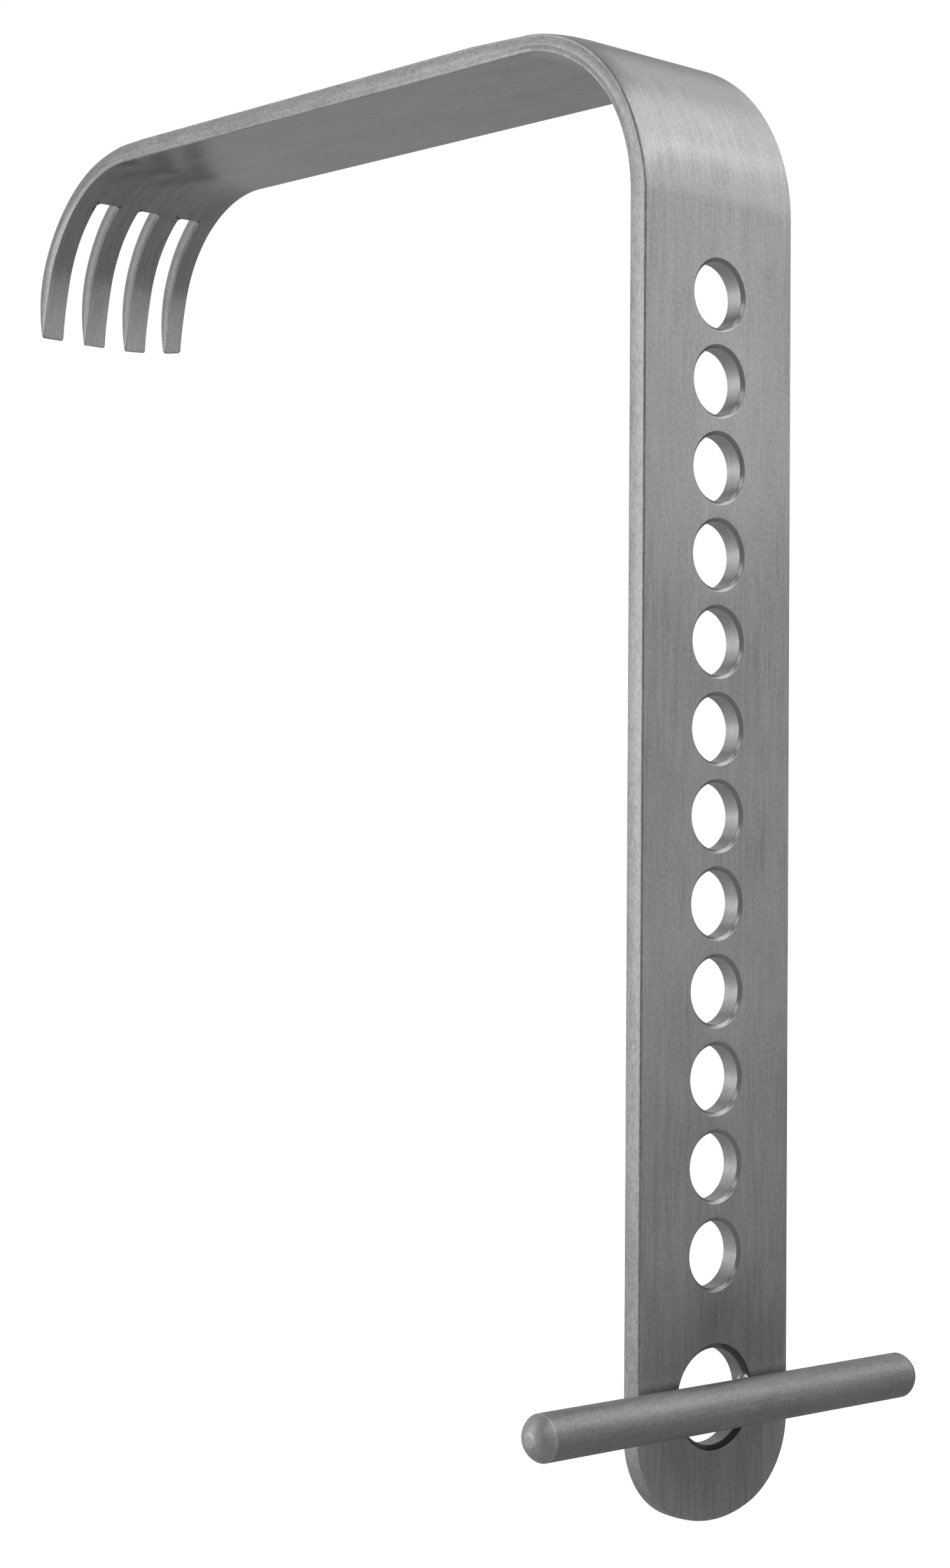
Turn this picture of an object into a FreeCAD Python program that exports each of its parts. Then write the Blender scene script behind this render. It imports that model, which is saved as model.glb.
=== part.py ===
# Hip retractor: a bent strap of stainless steel that ends in a four-pronged rake, with a crossbar
# welded across the large hole in its round end.
import FreeCAD, Part
import math
import os
import Sketcher

# Driving sizes, in millimetres and degrees.
# The long arm stands along Z with its front face on Y = 0, and the rake hangs at +Y.
# The origin is the middle of the row of holes, on that front face.
SIZES = {
    # strap
    "strap_width": 38.75,
    "strap_thickness": 4.0,
    "edge_break": 0.25,
    # row of holes in the long arm
    "hole_count": 12,
    "hole_pitch": 16.0,
    "hole_diameter": 12.3,
    "hole_countersink": 0.6,
    # round end of the long arm
    "end_hole_drop": 25.8,
    "end_hole_diameter": 17.5,
    "end_hole_countersink": 0.9,
    "end_length": 22.35,
    "nose_round": 24.7,
    "corner_round": 16.3,
    # bends and upper arm, each bend given by its inner radius
    "first_bend_rise": 16.5,
    "first_bend_inner": 31.8,
    "arm_rise": 1.9,
    "arm_length": 133.7,
    "second_bend_inner": 30.0,
    "second_bend_angle": 76.0,
    "prong_inner": 90.0,
    "prong_angle": 9.15,
    # rake
    "prong_count": 4,
    "slot_width": 5.5,
    "slot_pitch": 11.35,
    "slot_shift": 0.5,
    "slot_start_angle": 54.4,
    "slot_corner_round": 0.8,
    "tip_grind_length": 15.8,
    "tip_grind_round": 26.5,
    "last_tip_short": 0.75,
    # crossbar and its welds
    "bar_diameter": 8.5,
    "bar_length": 98.0,
    "bar_drop": 0.7,
    "bar_shift": -0.55,
    "bar_dome": 2.7,
    "bar_nose": 2.2,
    "weld_length": 6.8,
    "weld_straight": 4.4,
    "weld_width": 3.2,
    "weld_tip": 1.6,
    "weld_inset": 0.6,
    "weld_setback": 0.6,
}

# Places that several features share, written once as expressions of the sizes.
OVERCUT = "Sizes.strap_thickness"
HOLE_ROW = "(Sizes.hole_pitch * (Sizes.hole_count - 1))"
END_HOLE_Z = f"(-{HOLE_ROW} / 2 - Sizes.end_hole_drop)"
FOOT_Z = f"({END_HOLE_Z} - Sizes.end_length)"
BAR_Z = f"({END_HOLE_Z} - Sizes.bar_drop)"
FIRST_OUTER = "(Sizes.first_bend_inner + Sizes.strap_thickness)"
SECOND_OUTER = "(Sizes.second_bend_inner + Sizes.strap_thickness)"
PRONG_OUTER = "(Sizes.prong_inner + Sizes.strap_thickness)"
FIRST_BEND_Z = f"({HOLE_ROW} / 2 + Sizes.first_bend_rise)"
BENT_ANGLE = "(Sizes.arm_rise - Sizes.second_bend_angle)"
TIP_ANGLE = f"({BENT_ANGLE} - Sizes.prong_angle)"
# centre of the second bend, and of the prongs' own long curve
SECOND_Y = (
    f"({FIRST_OUTER} * (1 - sin(Sizes.arm_rise)) + Sizes.arm_length * cos(Sizes.arm_rise)"
    f" + {SECOND_OUTER} * sin(Sizes.arm_rise))"
)
SECOND_Z = (
    f"({FIRST_BEND_Z} + {FIRST_OUTER} * cos(Sizes.arm_rise) + Sizes.arm_length * sin(Sizes.arm_rise)"
    f" - {SECOND_OUTER} * cos(Sizes.arm_rise))"
)
PRONG_Y = f"({SECOND_Y} + ({PRONG_OUTER} - {SECOND_OUTER}) * sin({BENT_ANGLE}))"
PRONG_Z = f"({SECOND_Z} - ({PRONG_OUTER} - {SECOND_OUTER}) * cos({BENT_ANGLE}))"
SLOT_ROW = "(Sizes.slot_pitch * (Sizes.prong_count - 2))"
# the ground backs of the prongs start here, measured round the prongs' long curve
GRIND_ANGLE = f"({TIP_ANGLE} + Sizes.tip_grind_length / {PRONG_OUTER} * 180 / pi)"

# The grinding cut runs on past the tips, as a share of the ground length.
PAST_TIP = 1.2
# Two faces that meet at more than this angle, in degrees, make an edge that is broken.
SHARP = 15
# Two directions whose cross product is under this are parallel.
PARALLEL = 1e-4


def vec(x, y=0.0, z=0.0):
    return FreeCAD.Vector(x, y, z)


def make_sheet(doc):
    sheet = doc.addObject("Spreadsheet::Sheet", "Sizes")
    for row, (name, value) in enumerate(SIZES.items(), start=1):
        sheet.set(f"A{row}", name)
        sheet.set(f"B{row}", str(value))
        sheet.setAlias(f"B{row}", name)
    doc.recompute()
    return sheet


def origin_feature(body, role):
    return next(f for f in body.Origin.OriginFeatures if f.Role == role)


def new_sketch(body, name, plane, offset=None, turn=None):
    """A sketch on one of the body's own planes, moved within it by expressions."""
    sketch = body.newObject("Sketcher::SketchObject", name)
    sketch.AttachmentSupport = (origin_feature(body, plane), [""])
    sketch.MapMode = "FlatFace"
    for axis, expression in zip("xyz", offset or ()):
        if expression:
            sketch.setExpression(f".AttachmentOffset.Base.{axis}", expression)
    if turn:
        sketch.setExpression(".AttachmentOffset.Rotation.Angle", turn)
    return sketch


def arc(centre, radius, start, end):
    circle = Part.Circle(vec(*centre), vec(0, 0, 1), radius)
    return Part.ArcOfCircle(circle, math.radians(start), math.radians(end))


def bind(sketch, constraint, name, expression):
    """Adds a dimension and ties it to the sheet."""
    index = sketch.addConstraint(constraint)
    sketch.renameConstraint(index, name)
    sketch.setExpression(f"Constraints.{name}", expression)


def join(sketch, kind, *pairs):
    for first, first_end, second, second_end in pairs:
        sketch.addConstraint(Sketcher.Constraint(kind, first, first_end, second, second_end))


def polygon(sketch, points):
    """Closed outline of straight lines. Each line's first point is number 1 of that line."""
    count = len(points)
    for i, point in enumerate(points):
        sketch.addGeometry(Part.LineSegment(vec(*point), vec(*points[(i + 1) % count])))
    join(sketch, "Coincident", *((i, 2, (i + 1) % count, 1) for i in range(count)))


def square(sketch, lines, *kinds):
    """Makes the lines run along and up in turn."""
    kinds = kinds or ("Horizontal", "Vertical")
    for i, line in enumerate(lines):
        sketch.addConstraint(Sketcher.Constraint(kinds[i % len(kinds)], line))


def spine_sketch(body):
    """Side view of the strap's outer face, from the round end up, over and down to the prong tips."""
    v = SIZES
    row = v["hole_pitch"] * (v["hole_count"] - 1)
    foot = -row / 2 - v["end_hole_drop"] - v["end_length"]
    bend = row / 2 + v["first_bend_rise"]
    outer = v["first_bend_inner"] + v["strap_thickness"]
    second = v["second_bend_inner"] + v["strap_thickness"]
    long_curve = v["prong_inner"] + v["strap_thickness"]
    reach = outer + v["arm_length"]
    top = bend + outer
    spine = new_sketch(body, "Spine", "YZ_Plane")
    spine.addGeometry(Part.LineSegment(vec(0, foot), vec(0, bend)))
    spine.addGeometry(arc((outer, bend), outer, 90, 180))
    spine.addGeometry(Part.LineSegment(vec(outer, top), vec(reach, top)))
    spine.addGeometry(arc((reach, top - second), second, 15, 90))
    spine.addGeometry(arc((reach + second - long_curve, top - second), long_curve, 3, 15))
    spine.addConstraint(Sketcher.Constraint("Vertical", 0))
    spine.addConstraint(Sketcher.Constraint("PointOnObject", 0, 1, -2))
    join(spine, "Tangent", (0, 2, 1, 2), (1, 1, 2, 1), (2, 2, 3, 2), (3, 1, 4, 2))
    bind(spine, Sketcher.Constraint("DistanceY", -1, 1, 0, 1, foot), "foot", FOOT_Z)
    bind(spine, Sketcher.Constraint("DistanceY", -1, 1, 0, 2, bend), "bend_start", FIRST_BEND_Z)
    bind(spine, Sketcher.Constraint("Radius", 1, outer), "first_bend", FIRST_OUTER)
    bind(spine, Sketcher.Constraint("Angle", 1, math.radians(90)), "first_turn", "90 - Sizes.arm_rise")
    bind(spine, Sketcher.Constraint("Distance", 2, v["arm_length"]), "upper_arm", "Sizes.arm_length")
    bind(spine, Sketcher.Constraint("Radius", 3, second), "second_bend", SECOND_OUTER)
    bind(spine, Sketcher.Constraint("Angle", 3, math.radians(75)), "second_turn", "Sizes.second_bend_angle")
    bind(spine, Sketcher.Constraint("Radius", 4, long_curve), "prong_curve", PRONG_OUTER)
    bind(spine, Sketcher.Constraint("Angle", 4, math.radians(12)), "prong_turn", "Sizes.prong_angle")
    return spine


def section_sketch(body):
    """The flat bar's cross-section, at the foot of the long arm."""
    half, thick = SIZES["strap_width"] / 2, SIZES["strap_thickness"]
    section = new_sketch(body, "Section", "XY_Plane", offset=(None, None, FOOT_Z))
    polygon(section, [(-half, 0), (half, 0), (half, thick), (-half, thick)])
    square(section, range(4))
    section.addConstraint(Sketcher.Constraint("Symmetric", 0, 1, 0, 2, -1, 1))
    bind(section, Sketcher.Constraint("Distance", 0, 2 * half), "width", "Sizes.strap_width")
    bind(section, Sketcher.Constraint("Distance", 1, thick), "thickness", "Sizes.strap_thickness")
    return section


def round_end_sketch(body):
    """What is cut away to leave the round end, drawn from the front."""
    v = SIZES
    half, nose, corner = v["strap_width"] / 2, v["nose_round"], v["corner_round"]
    over = v["strap_thickness"]
    foot = -v["hole_pitch"] * (v["hole_count"] - 1) / 2 - v["end_hole_drop"] - v["end_length"]
    side, low, wide = foot + v["strap_width"] / 2, foot - over, half + over
    end = new_sketch(body, "RoundEnd", "XZ_Plane")
    end.addGeometry(arc((0, foot + nose), nose, 230, 310))
    end.addGeometry(arc((half - corner, side), corner, 310, 360))
    end.addGeometry(Part.LineSegment(vec(half, side), vec(half, side + over)))
    end.addGeometry(Part.LineSegment(vec(half, side + over), vec(wide, side + over)))
    end.addGeometry(Part.LineSegment(vec(wide, side + over), vec(wide, low)))
    end.addGeometry(Part.LineSegment(vec(wide, low), vec(-wide, low)))
    end.addGeometry(Part.LineSegment(vec(-wide, low), vec(-wide, side + over)))
    end.addGeometry(Part.LineSegment(vec(-wide, side + over), vec(-half, side + over)))
    end.addGeometry(Part.LineSegment(vec(-half, side + over), vec(-half, side)))
    end.addGeometry(arc((corner - half, side), corner, 180, 230))
    join(end, "Tangent", (0, 2, 1, 1), (1, 2, 2, 1), (8, 2, 9, 1), (9, 2, 0, 1))
    join(end, "Coincident", *((i, 2, i + 1, 1) for i in range(2, 8)))
    square(end, range(2, 9), "Vertical", "Horizontal")
    end.addConstraint(Sketcher.Constraint("PointOnObject", 0, 3, -2))
    end.addConstraint(Sketcher.Constraint("Symmetric", 2, 2, 7, 2, -2))
    end.addConstraint(Sketcher.Constraint("Equal", 3, 7))
    end.addConstraint(Sketcher.Constraint("Equal", 1, 9))
    bind(end, Sketcher.Constraint("Radius", 0, nose), "nose", "Sizes.nose_round")
    bind(end, Sketcher.Constraint("Radius", 1, corner), "corner", "Sizes.corner_round")
    centre = Sketcher.Constraint("DistanceY", -1, 1, 0, 3, foot + nose)
    bind(end, centre, "nose_centre", f"{FOOT_Z} + Sizes.nose_round")
    bind(end, Sketcher.Constraint("DistanceX", 7, 2, 2, 2, 2 * half), "width", "Sizes.strap_width")
    bind(end, Sketcher.Constraint("DistanceY", 2, 1, 2, 2, over), "lead", OVERCUT)
    bind(end, Sketcher.Constraint("DistanceX", 3, 1, 3, 2, over), "beside", OVERCUT)
    below = Sketcher.Constraint("DistanceY", 5, 1, 0, 3, nose + over)
    bind(end, below, "below", f"Sizes.nose_round + {OVERCUT}")
    return end


def slot_sketch(body):
    """Side view of one slot: all of the strap beyond a line from the second bend's centre."""
    reach = f"(2 * {SECOND_OUTER} + Sizes.prong_inner * sin(Sizes.prong_angle))"
    sketch = new_sketch(
        body, "Slot", "YZ_Plane",
        offset=(SECOND_Y, SECOND_Z, f"Sizes.slot_shift - {SLOT_ROW} / 2"),
        turn="Sizes.slot_start_angle",
    )
    side = 2 * SIZES["prong_inner"]
    polygon(sketch, [(0, 0), (side, 0), (side, -side), (0, -side)])
    square(sketch, range(4))
    join(sketch, "Coincident", (0, 1, -1, 1))
    bind(sketch, Sketcher.Constraint("DistanceX", 0, 1, 0, 2, side), "across", reach)
    bind(sketch, Sketcher.Constraint("DistanceY", 3, 1, 3, 2, side), "along", reach)
    return sketch


def grind_sketch(body):
    """Side view of what is ground off the prongs' backs, so that each tip ends in a thin edge."""
    over, radius = SIZES["strap_thickness"], SIZES["tip_grind_round"]
    run = SIZES["tip_grind_length"] * PAST_TIP
    drop = radius - math.sqrt(radius ** 2 - run ** 2)
    sketch = new_sketch(
        body, "TipGrind", "YZ_Plane",
        offset=(
            f"{PRONG_Y} - {PRONG_OUTER} * sin({GRIND_ANGLE})",
            f"{PRONG_Z} + {PRONG_OUTER} * cos({GRIND_ANGLE})",
            None,
        ),
        turn=GRIND_ANGLE,
    )
    sweep = math.degrees(math.asin(run / radius))
    sketch.addGeometry(arc((0, -radius), radius, 90 - sweep, 90))
    sketch.addGeometry(Part.LineSegment(vec(run, -drop), vec(run, over)))
    sketch.addGeometry(Part.LineSegment(vec(run, over), vec(0, over)))
    sketch.addGeometry(Part.LineSegment(vec(0, over), vec(0, 0)))
    join(sketch, "Coincident", (0, 1, 1, 1), (1, 2, 2, 1), (2, 2, 3, 1), (3, 2, 0, 2), (0, 2, -1, 1))
    sketch.addConstraint(Sketcher.Constraint("PointOnObject", 0, 3, -2))
    square(sketch, range(1, 4), "Vertical", "Horizontal")
    bind(sketch, Sketcher.Constraint("Radius", 0, radius), "back", "Sizes.tip_grind_round")
    past = Sketcher.Constraint("DistanceX", 0, 2, 0, 1, run)
    bind(sketch, past, "past_tip", f"Sizes.tip_grind_length * {PAST_TIP}")
    bind(sketch, Sketcher.Constraint("DistanceY", 3, 2, 3, 1, over), "above", OVERCUT)
    return sketch


def last_tip_sketch(body):
    """Side view of what is cut off the end of the last prong, which is a little shorter than the others."""
    over, short = SIZES["strap_thickness"], SIZES["last_tip_short"]
    sketch = new_sketch(
        body, "LastTip", "YZ_Plane",
        offset=(
            f"{PRONG_Y} - {PRONG_OUTER} * sin({TIP_ANGLE})",
            f"{PRONG_Z} + {PRONG_OUTER} * cos({TIP_ANGLE})",
            "Sizes.strap_width / 2",
        ),
        turn=TIP_ANGLE,
    )
    polygon(sketch, [(-short, -2 * over), (over, -2 * over), (over, over), (-short, over)])
    square(sketch, range(4))
    bind(sketch, Sketcher.Constraint("DistanceX", 0, 1, -1, 1, short), "short", "Sizes.last_tip_short")
    bind(sketch, Sketcher.Constraint("DistanceX", -1, 1, 0, 2, over), "past_tip", OVERCUT)
    bind(sketch, Sketcher.Constraint("DistanceY", 0, 1, -1, 1, 2 * over), "inside", f"2 * {OVERCUT}")
    bind(sketch, Sketcher.Constraint("DistanceY", -1, 1, 2, 1, over), "outside", OVERCUT)
    return sketch


def hole_sketch(body, name, height, diameter, countersink):
    """Half the outline of a drill with a countersink behind it, on the hole's own axis."""
    over, bore, sink = SIZES["strap_thickness"], SIZES[diameter] / 2, SIZES[countersink]
    mouth = bore + sink + over
    sketch = new_sketch(body, name, "YZ_Plane", offset=(None, height, None))
    polygon(sketch, [(-over, 0), (2 * over, 0), (2 * over, bore), (sink, bore), (-over, mouth)])
    square(sketch, range(3))
    square(sketch, [4], "Vertical")
    sketch.addConstraint(Sketcher.Constraint("PointOnObject", 0, 1, -1))
    bind(sketch, Sketcher.Constraint("DistanceX", 0, 1, -1, 1, over), "before", OVERCUT)
    bind(sketch, Sketcher.Constraint("DistanceX", -1, 1, 0, 2, 2 * over), "behind", f"2 * {OVERCUT}")
    bind(sketch, Sketcher.Constraint("DistanceY", 1, 1, 1, 2, bore), "bore", f"Sizes.{diameter} / 2")
    bind(sketch, Sketcher.Constraint("DistanceX", -1, 1, 2, 2, sink), "sink", f"Sizes.{countersink}")
    wide = f"Sizes.{diameter} / 2 + Sizes.{countersink} + {OVERCUT}"
    bind(sketch, Sketcher.Constraint("DistanceY", 4, 2, 4, 1, mouth), "mouth", wide)
    return sketch


def cut_bore(body, sketch, name):
    groove = body.newObject("PartDesign::Groove", name)
    groove.Profile = sketch
    groove.ReferenceAxis = (sketch, ["H_Axis"])
    groove.Angle = 360
    return groove


def cut_pocket(body, sketch, name, length, sides):
    pocket = body.newObject("PartDesign::Pocket", name)
    pocket.Profile = sketch
    pocket.SideType = sides
    pocket.setExpression("Length", length)
    return pocket


def repeat(body, feature, name, axis, length, count):
    pattern = body.newObject("PartDesign::LinearPattern", name)
    pattern.Originals = [feature]
    pattern.Direction = (origin_feature(body, axis), [""])
    pattern.setExpression("Length", length)
    pattern.setExpression("Occurrences", count)
    body.Tip = pattern
    return pattern


def sharp_edges(shape):
    """Numbers of the edges where two faces meet at an angle."""
    found = []
    for number, edge in enumerate(shape.Edges, start=1):
        faces = shape.ancestorsOfType(edge, Part.Face)
        middle = edge.valueAt((edge.FirstParameter + edge.LastParameter) / 2)
        normals = [face.normalAt(*face.Surface.parameter(middle)) for face in faces]
        if len(faces) == 2 and math.degrees(normals[0].getAngle(normals[1])) > SHARP:
            found.append(number)
    return found


def slot_end_edges(shape):
    """Numbers of the edges across the strap's thickness where each slot's end meets its sides."""
    lean = math.radians(SIZES["slot_start_angle"])
    along = vec(0, math.cos(lean), math.sin(lean))
    half = SIZES["strap_width"] / 2
    found = []
    for number in sharp_edges(shape):
        edge = shape.Edges[number - 1]
        if not isinstance(edge.Curve, Part.Line) or abs(edge.Vertexes[0].X) > half - SIZES["edge_break"]:
            continue
        if edge.Curve.Direction.cross(along).Length < PARALLEL:
            found.append(number)
    return found


def dress_edges(body, kind, name, base, numbers, measure, size):
    dressed = body.newObject(f"PartDesign::{kind}", name)
    dressed.Base = (base, [f"Edge{number}" for number in numbers])
    dressed.setExpression(measure, f"Sizes.{size}")
    body.Document.recompute()
    return dressed


def build_blade(doc):
    body = doc.addObject("PartDesign::Body", "blade")
    body.Label = "blade"
    strap = body.newObject("PartDesign::AdditivePipe", "Strap")
    strap.Profile = section_sketch(body)
    strap.Spine = (spine_sketch(body), [])
    cut_pocket(body, round_end_sketch(body), "RoundEndCut", f"2 * {OVERCUT}", "One side")
    slot = cut_pocket(body, slot_sketch(body), "SlotCut", "Sizes.slot_width", "Symmetric")
    slots = repeat(body, slot, "Slots", "X_Axis", SLOT_ROW, "Sizes.prong_count - 1")
    doc.recompute()
    corners = slot_end_edges(slots.Shape)
    rounded = dress_edges(body, "Fillet", "SlotCorners", slots, corners, "Radius", "slot_corner_round")
    sharp = sharp_edges(rounded.Shape)
    dress_edges(body, "Chamfer", "BrokenEdges", rounded, sharp, "Size", "edge_break")
    # the tips are ground last, so the ground faces keep crisp edges
    cut_pocket(body, grind_sketch(body), "TipGrindCut", "2 * Sizes.strap_width", "Symmetric")
    cut_pocket(body, last_tip_sketch(body), "LastTipCut", "Sizes.slot_pitch", "Symmetric")
    first = hole_sketch(body, "Hole", f"-{HOLE_ROW} / 2", "hole_diameter", "hole_countersink")
    hole = cut_bore(body, first, "HoleCut")
    repeat(body, hole, "Holes", "Z_Axis", HOLE_ROW, "Sizes.hole_count")
    large = hole_sketch(body, "EndHole", END_HOLE_Z, "end_hole_diameter", "end_hole_countersink")
    body.Tip = cut_bore(body, large, "EndHoleCut")
    doc.recompute()
    return body


def bar_sketch(body):
    """Half the crossbar's outline: a rod with a low dome and a small flat on each end."""
    v = SIZES
    half, radius, dome, nose = v["bar_length"] / 2, v["bar_diameter"] / 2, v["bar_dome"], v["bar_nose"] / 2
    # the dome is part of a ball whose centre lies on the rod's axis
    centre = half - dome / 2 - (radius ** 2 - nose ** 2) / (2 * dome)
    ball = math.hypot(half - centre, nose)
    tip = math.degrees(math.asin(nose / ball))
    rim = math.degrees(math.asin(radius / ball))
    sketch = new_sketch(
        body, "BarOutline", "XY_Plane", offset=("Sizes.bar_shift", "-Sizes.bar_diameter / 2", BAR_Z)
    )
    sketch.addGeometry(Part.LineSegment(vec(-half, 0), vec(half, 0)))
    sketch.addGeometry(Part.LineSegment(vec(half, 0), vec(half, nose)))
    sketch.addGeometry(arc((centre, 0), ball, tip, rim))
    sketch.addGeometry(Part.LineSegment(vec(half - dome, radius), vec(dome - half, radius)))
    sketch.addGeometry(arc((-centre, 0), ball, 180 - rim, 180 - tip))
    sketch.addGeometry(Part.LineSegment(vec(-half, nose), vec(-half, 0)))
    join(sketch, "Coincident", *((i, 2, (i + 1) % 6, 1) for i in range(6)))
    square(sketch, (1, 3, 5), "Vertical", "Horizontal")
    sketch.addConstraint(Sketcher.Constraint("Symmetric", 0, 1, 0, 2, -1, 1))
    sketch.addConstraint(Sketcher.Constraint("PointOnObject", 0, 1, -1))
    sketch.addConstraint(Sketcher.Constraint("PointOnObject", 2, 3, -1))
    sketch.addConstraint(Sketcher.Constraint("PointOnObject", 4, 3, -1))
    sketch.addConstraint(Sketcher.Constraint("Equal", 1, 5))
    sketch.addConstraint(Sketcher.Constraint("Equal", 2, 4))
    bind(sketch, Sketcher.Constraint("DistanceX", 0, 1, 0, 2, 2 * half), "length", "Sizes.bar_length")
    bind(sketch, Sketcher.Constraint("DistanceY", 1, 1, 1, 2, nose), "nose", "Sizes.bar_nose / 2")
    bind(sketch, Sketcher.Constraint("DistanceX", 2, 2, 2, 1, dome), "dome", "Sizes.bar_dome")
    bind(sketch, Sketcher.Constraint("DistanceY", 1, 1, 2, 2, radius), "rod", "Sizes.bar_diameter / 2")
    return sketch


def build_crossbar(doc):
    body = doc.addObject("PartDesign::Body", "crossbar")
    body.Label = "crossbar"
    outline = bar_sketch(body)
    rod = body.newObject("PartDesign::Revolution", "Rod")
    rod.Profile = outline
    rod.ReferenceAxis = (outline, ["H_Axis"])
    rod.Angle = 360
    body.Tip = rod
    doc.recompute()
    return body


def bead_sketch(body):
    """Half the outline of a bead that stands on end, tapered at both ends."""
    v = SIZES
    half, straight = v["weld_length"] / 2, v["weld_straight"] / 2
    radius, tip = v["weld_width"] / 2, v["weld_tip"] / 2
    place = ("Sizes.weld_inset - Sizes.end_hole_diameter / 2", BAR_Z, "-Sizes.weld_setback")
    sketch = new_sketch(body, "BeadOutline", "XZ_Plane", offset=place)
    rising = [(0, -half), (tip, -half), (radius, -straight), (radius, straight), (tip, half), (0, half)]
    polygon(sketch, rising)
    square(sketch, (0, 4), "Horizontal")
    square(sketch, [5], "Vertical")
    sketch.addConstraint(Sketcher.Constraint("Symmetric", 5, 1, 5, 2, -1, 1))
    sketch.addConstraint(Sketcher.Constraint("Symmetric", 1, 2, 2, 2, -1))
    sketch.addConstraint(Sketcher.Constraint("Equal", 0, 4))
    bind(sketch, Sketcher.Constraint("DistanceY", 5, 2, 5, 1, 2 * half), "length", "Sizes.weld_length")
    middle = Sketcher.Constraint("DistanceY", 2, 1, 2, 2, 2 * straight)
    bind(sketch, middle, "straight", "Sizes.weld_straight")
    bind(sketch, Sketcher.Constraint("DistanceX", 5, 2, 2, 1, radius), "bead", "Sizes.weld_width / 2")
    bind(sketch, Sketcher.Constraint("DistanceX", 0, 1, 0, 2, tip), "tip", "Sizes.weld_tip / 2")
    return sketch


def build_left_weld(doc, blade, crossbar):
    """A bead up the wall of the end hole, behind the crossbar, that fills the corner between them."""
    body = doc.addObject("PartDesign::Body", "bead")
    outline = bead_sketch(body)
    bead = body.newObject("PartDesign::Revolution", "Bead")
    bead.Profile = outline
    bead.ReferenceAxis = (outline, ["V_Axis"])
    bead.Angle = 360
    body.Tip = bead
    weld = body
    for tool in (blade, crossbar):
        cut = doc.addObject("Part::Cut", f"bead_beside_{tool.Label}")
        cut.Base = weld
        cut.Tool = tool
        weld = cut
    weld.Label = "weld_left"
    return weld


def build_right_weld(doc, left):
    """The same bead on the other wall of the hole."""
    weld = doc.addObject("Part::Mirroring", "weld_right")
    weld.Label = "weld_right"
    weld.Source = left
    weld.Normal = vec(1)
    return weld


def check(doc, parts):
    """Stops the build if a feature failed, cut nothing or left a part in pieces."""
    for item in doc.Objects:
        if "Invalid" in item.State or "Error" in item.State:
            raise RuntimeError(f"{item.Label} is {item.State}")
        if item.isDerivedFrom("Sketcher::SketchObject") and not item.FullyConstrained:
            raise RuntimeError(f"{item.Label} isn't fully constrained")
        if item.TypeId in ("PartDesign::Pocket", "PartDesign::Groove", "PartDesign::LinearPattern"):
            if not item.Shape.Volume < item.BaseFeature.Shape.Volume:
                raise RuntimeError(f"{item.Label} cuts nothing")
    for part in parts:
        shape = part.Shape
        if shape.isNull() or not shape.isValid() or len(shape.Solids) != 1 or shape.Volume <= 0:
            raise RuntimeError(f"{part.Label} isn't one sound solid")


def main():
    doc = FreeCAD.newDocument("hip_retractor")
    make_sheet(doc)
    blade = build_blade(doc)
    crossbar = build_crossbar(doc)
    left = build_left_weld(doc, blade, crossbar)
    parts = [blade, crossbar, left, build_right_weld(doc, left)]
    doc.recompute()
    check(doc, parts)
    os.makedirs("parts", exist_ok=True)
    for part in parts:
        part.Shape.exportStep(f"parts/{part.Label}.step")
        box = part.Shape.BoundBox
        print(f"{part.Label}: {part.Shape.Volume:.1f} mm3, z {box.ZMin:.2f} to {box.ZMax:.2f}")


main()
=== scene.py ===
import math

import bmesh
import bpy
from mathutils import Matrix, Vector, noise
from mathutils.geometry import delaunay_2d_cdt


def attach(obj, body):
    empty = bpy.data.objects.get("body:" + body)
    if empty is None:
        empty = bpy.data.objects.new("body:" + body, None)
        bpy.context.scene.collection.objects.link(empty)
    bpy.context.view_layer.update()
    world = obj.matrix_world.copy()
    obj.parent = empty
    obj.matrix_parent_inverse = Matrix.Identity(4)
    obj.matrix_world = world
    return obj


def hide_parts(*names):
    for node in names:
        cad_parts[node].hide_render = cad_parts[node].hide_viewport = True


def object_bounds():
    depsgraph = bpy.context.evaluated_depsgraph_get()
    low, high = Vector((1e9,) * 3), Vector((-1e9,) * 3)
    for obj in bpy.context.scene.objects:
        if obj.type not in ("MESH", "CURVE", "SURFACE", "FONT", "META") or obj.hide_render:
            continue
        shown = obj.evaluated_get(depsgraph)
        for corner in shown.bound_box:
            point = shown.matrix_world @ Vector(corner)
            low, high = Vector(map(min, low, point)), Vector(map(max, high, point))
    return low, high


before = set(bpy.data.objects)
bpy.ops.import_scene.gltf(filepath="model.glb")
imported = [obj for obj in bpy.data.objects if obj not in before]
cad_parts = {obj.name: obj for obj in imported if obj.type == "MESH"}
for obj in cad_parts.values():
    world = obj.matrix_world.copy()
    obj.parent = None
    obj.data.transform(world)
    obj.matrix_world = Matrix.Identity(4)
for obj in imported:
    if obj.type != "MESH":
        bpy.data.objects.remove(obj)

mm = 0.001
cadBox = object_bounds()
scene = bpy.context.scene
scene.view_settings.view_transform = "Standard"
print("frame loaded")


# Camera, placed as the photograph was taken: from the left, level with the middle of the long arm.
# Its place is in metres, its angles in degrees, its lens and sensor in millimetres.
viewpoint = {
    "place": (-0.36625, -0.35371, -0.01576),
    "yaw": 40.984,
    "pitch": 1.507,
    "roll": 0.407,
    "lens": 63.58,
    "sensor": 36.0,
}


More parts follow.
